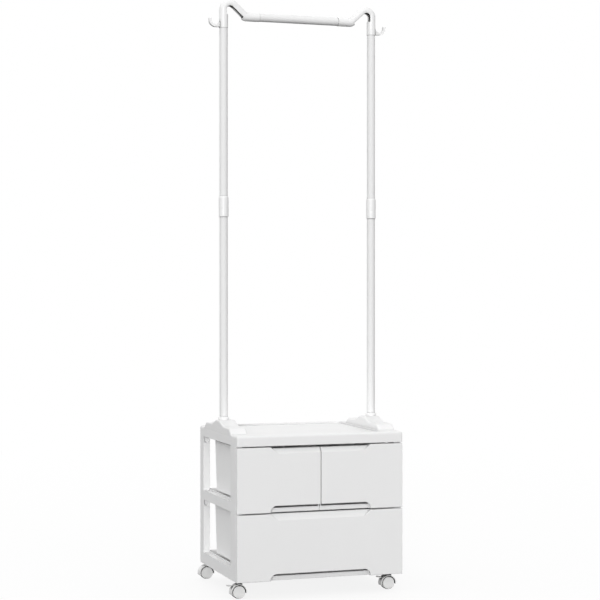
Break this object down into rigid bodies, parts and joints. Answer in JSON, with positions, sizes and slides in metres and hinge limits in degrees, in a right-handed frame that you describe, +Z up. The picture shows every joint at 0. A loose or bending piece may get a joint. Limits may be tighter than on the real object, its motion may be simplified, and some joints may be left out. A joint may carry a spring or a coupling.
{
  "type": "clothing rack with drawers",
  "caption": "Wheeled plastic chest of drawers with a pole at each side, gooseneck elbows with side hooks and a hanging rail between them.",
  "frame": {"origin": "on the floor, under the middle of the chest's footprint", "axes": "+Z up, +X to the right for someone facing the drawers, +Y towards the back; the drawers open towards -Y"},
  "size_m": [0.549, 0.39, 1.718],
  "materials": {
    "moulded_white": "moulded, satin",
    "tube_white": "white coating, satin",
    "caster_white": "moulded, satin",
    "pin_steel": "bare steel"
  },
  "bodies": {
    "frame": {"bottom_deck": "moulded_white", "caster_stem_front_left": "pin_steel", "caster_stem_front_right": "pin_steel", "caster_stem_rear_left": "pin_steel", "caster_stem_rear_right": "pin_steel", "elbow_left": "moulded_white", "elbow_right": "moulded_white", "hanging_rail": "tube_white", "lower_post_front_left": "moulded_white", "lower_post_front_right": "moulded_white", "lower_post_rear_left": "moulded_white", "lower_post_rear_right": "moulded_white", "lower_tube_left": "tube_white", "lower_tube_right": "tube_white", "middle_deck": "moulded_white", "pole_collar_left": "moulded_white", "pole_collar_right": "moulded_white", "top_cover": "moulded_white", "tube_coupler_left": "moulded_white", "tube_coupler_right": "moulded_white", "upper_post_front_left": "moulded_white", "upper_post_front_right": "moulded_white", "upper_post_rear_left": "moulded_white", "upper_post_rear_right": "moulded_white", "upper_tube_left": "tube_white", "upper_tube_right": "tube_white"},
    "lower_drawer": {"lower_drawer_box": "moulded_white", "lower_drawer_front": "moulded_white"},
    "upper_drawer_left": {"upper_drawer_box_left": "moulded_white", "upper_drawer_front_left": "moulded_white"},
    "upper_drawer_right": {"upper_drawer_box_right": "moulded_white", "upper_drawer_front_right": "moulded_white"},
    "caster_front_left": {"caster_hood_front_left": "caster_white", "caster_axle_front_left": "pin_steel", "brake_pin_front_left": "pin_steel"},
    "wheel_front_left_outer": {"caster_wheel_front_left_outer": "caster_white"},
    "wheel_front_left_inner": {"caster_wheel_front_left_inner": "caster_white"},
    "brake_front_left": {"brake_lever_front_left": "caster_white"},
    "caster_rear_left": {"caster_hood_rear_left": "caster_white", "caster_axle_rear_left": "pin_steel"},
    "wheel_rear_left_outer": {"caster_wheel_rear_left_outer": "caster_white"},
    "wheel_rear_left_inner": {"caster_wheel_rear_left_inner": "caster_white"},
    "caster_front_right": {"caster_hood_front_right": "caster_white", "caster_axle_front_right": "pin_steel", "brake_pin_front_right": "pin_steel"},
    "wheel_front_right_outer": {"caster_wheel_front_right_outer": "caster_white"},
    "wheel_front_right_inner": {"caster_wheel_front_right_inner": "caster_white"},
    "brake_front_right": {"brake_lever_front_right": "caster_white"},
    "caster_rear_right": {"caster_hood_rear_right": "caster_white", "caster_axle_rear_right": "pin_steel"},
    "wheel_rear_right_outer": {"caster_wheel_rear_right_outer": "caster_white"},
    "wheel_rear_right_inner": {"caster_wheel_rear_right_inner": "caster_white"}
  },
  "joints": [
    {"name": "lower_drawer_slide", "type": "slide", "parent": "frame", "child": "lower_drawer", "axis": [0, -1, 0], "range_m": [0, 0.24]},
    {"name": "upper_drawer_left_slide", "type": "slide", "parent": "frame", "child": "upper_drawer_left", "axis": [0, -1, 0], "range_m": [0, 0.24]},
    {"name": "upper_drawer_right_slide", "type": "slide", "parent": "frame", "child": "upper_drawer_right", "axis": [0, -1, 0], "range_m": [0, 0.24]},
    {"name": "caster_front_left_swivel", "type": "hinge", "parent": "frame", "child": "caster_front_left", "pos_m": [-0.227, -0.152, 0.036], "axis": [0, 0, 1], "continuous": true},
    {"name": "wheel_front_left_outer_spin", "type": "hinge", "parent": "caster_front_left", "child": "wheel_front_left_outer", "pos_m": [-0.235, -0.16125, 0.019], "axis": [0, 1, 0], "continuous": true},
    {"name": "wheel_front_left_inner_spin", "type": "hinge", "parent": "caster_front_left", "child": "wheel_front_left_inner", "pos_m": [-0.235, -0.14275, 0.019], "axis": [0, 1, 0], "continuous": true},
    {"name": "brake_front_left_press", "type": "hinge", "parent": "caster_front_left", "child": "brake_front_left", "pos_m": [-0.24219, -0.152, 0.03441], "axis": [0, -1, 0], "range_deg": [0, 12]},
    {"name": "caster_rear_left_swivel", "type": "hinge", "parent": "frame", "child": "caster_rear_left", "pos_m": [-0.227, 0.181, 0.036], "axis": [0, 0, 1], "continuous": true},
    {"name": "wheel_rear_left_outer_spin", "type": "hinge", "parent": "caster_rear_left", "child": "wheel_rear_left_outer", "pos_m": [-0.235, 0.17175, 0.019], "axis": [0, 1, 0], "continuous": true},
    {"name": "wheel_rear_left_inner_spin", "type": "hinge", "parent": "caster_rear_left", "child": "wheel_rear_left_inner", "pos_m": [-0.235, 0.19025, 0.019], "axis": [0, 1, 0], "continuous": true},
    {"name": "caster_front_right_swivel", "type": "hinge", "parent": "frame", "child": "caster_front_right", "pos_m": [0.227, -0.152, 0.036], "axis": [0, 0, 1], "continuous": true},
    {"name": "wheel_front_right_outer_spin", "type": "hinge", "parent": "caster_front_right", "child": "wheel_front_right_outer", "pos_m": [0.219, -0.16125, 0.019], "axis": [0, 1, 0], "continuous": true},
    {"name": "wheel_front_right_inner_spin", "type": "hinge", "parent": "caster_front_right", "child": "wheel_front_right_inner", "pos_m": [0.219, -0.14275, 0.019], "axis": [0, 1, 0], "continuous": true},
    {"name": "brake_front_right_press", "type": "hinge", "parent": "caster_front_right", "child": "brake_front_right", "pos_m": [0.21182, -0.152, 0.03441], "axis": [0, -1, 0], "range_deg": [0, 12]},
    {"name": "caster_rear_right_swivel", "type": "hinge", "parent": "frame", "child": "caster_rear_right", "pos_m": [0.227, 0.181, 0.036], "axis": [0, 0, 1], "continuous": true},
    {"name": "wheel_rear_right_outer_spin", "type": "hinge", "parent": "caster_rear_right", "child": "wheel_rear_right_outer", "pos_m": [0.219, 0.17175, 0.019], "axis": [0, 1, 0], "continuous": true},
    {"name": "wheel_rear_right_inner_spin", "type": "hinge", "parent": "caster_rear_right", "child": "wheel_rear_right_inner", "pos_m": [0.219, 0.19025, 0.019], "axis": [0, 1, 0], "continuous": true}
  ]
}
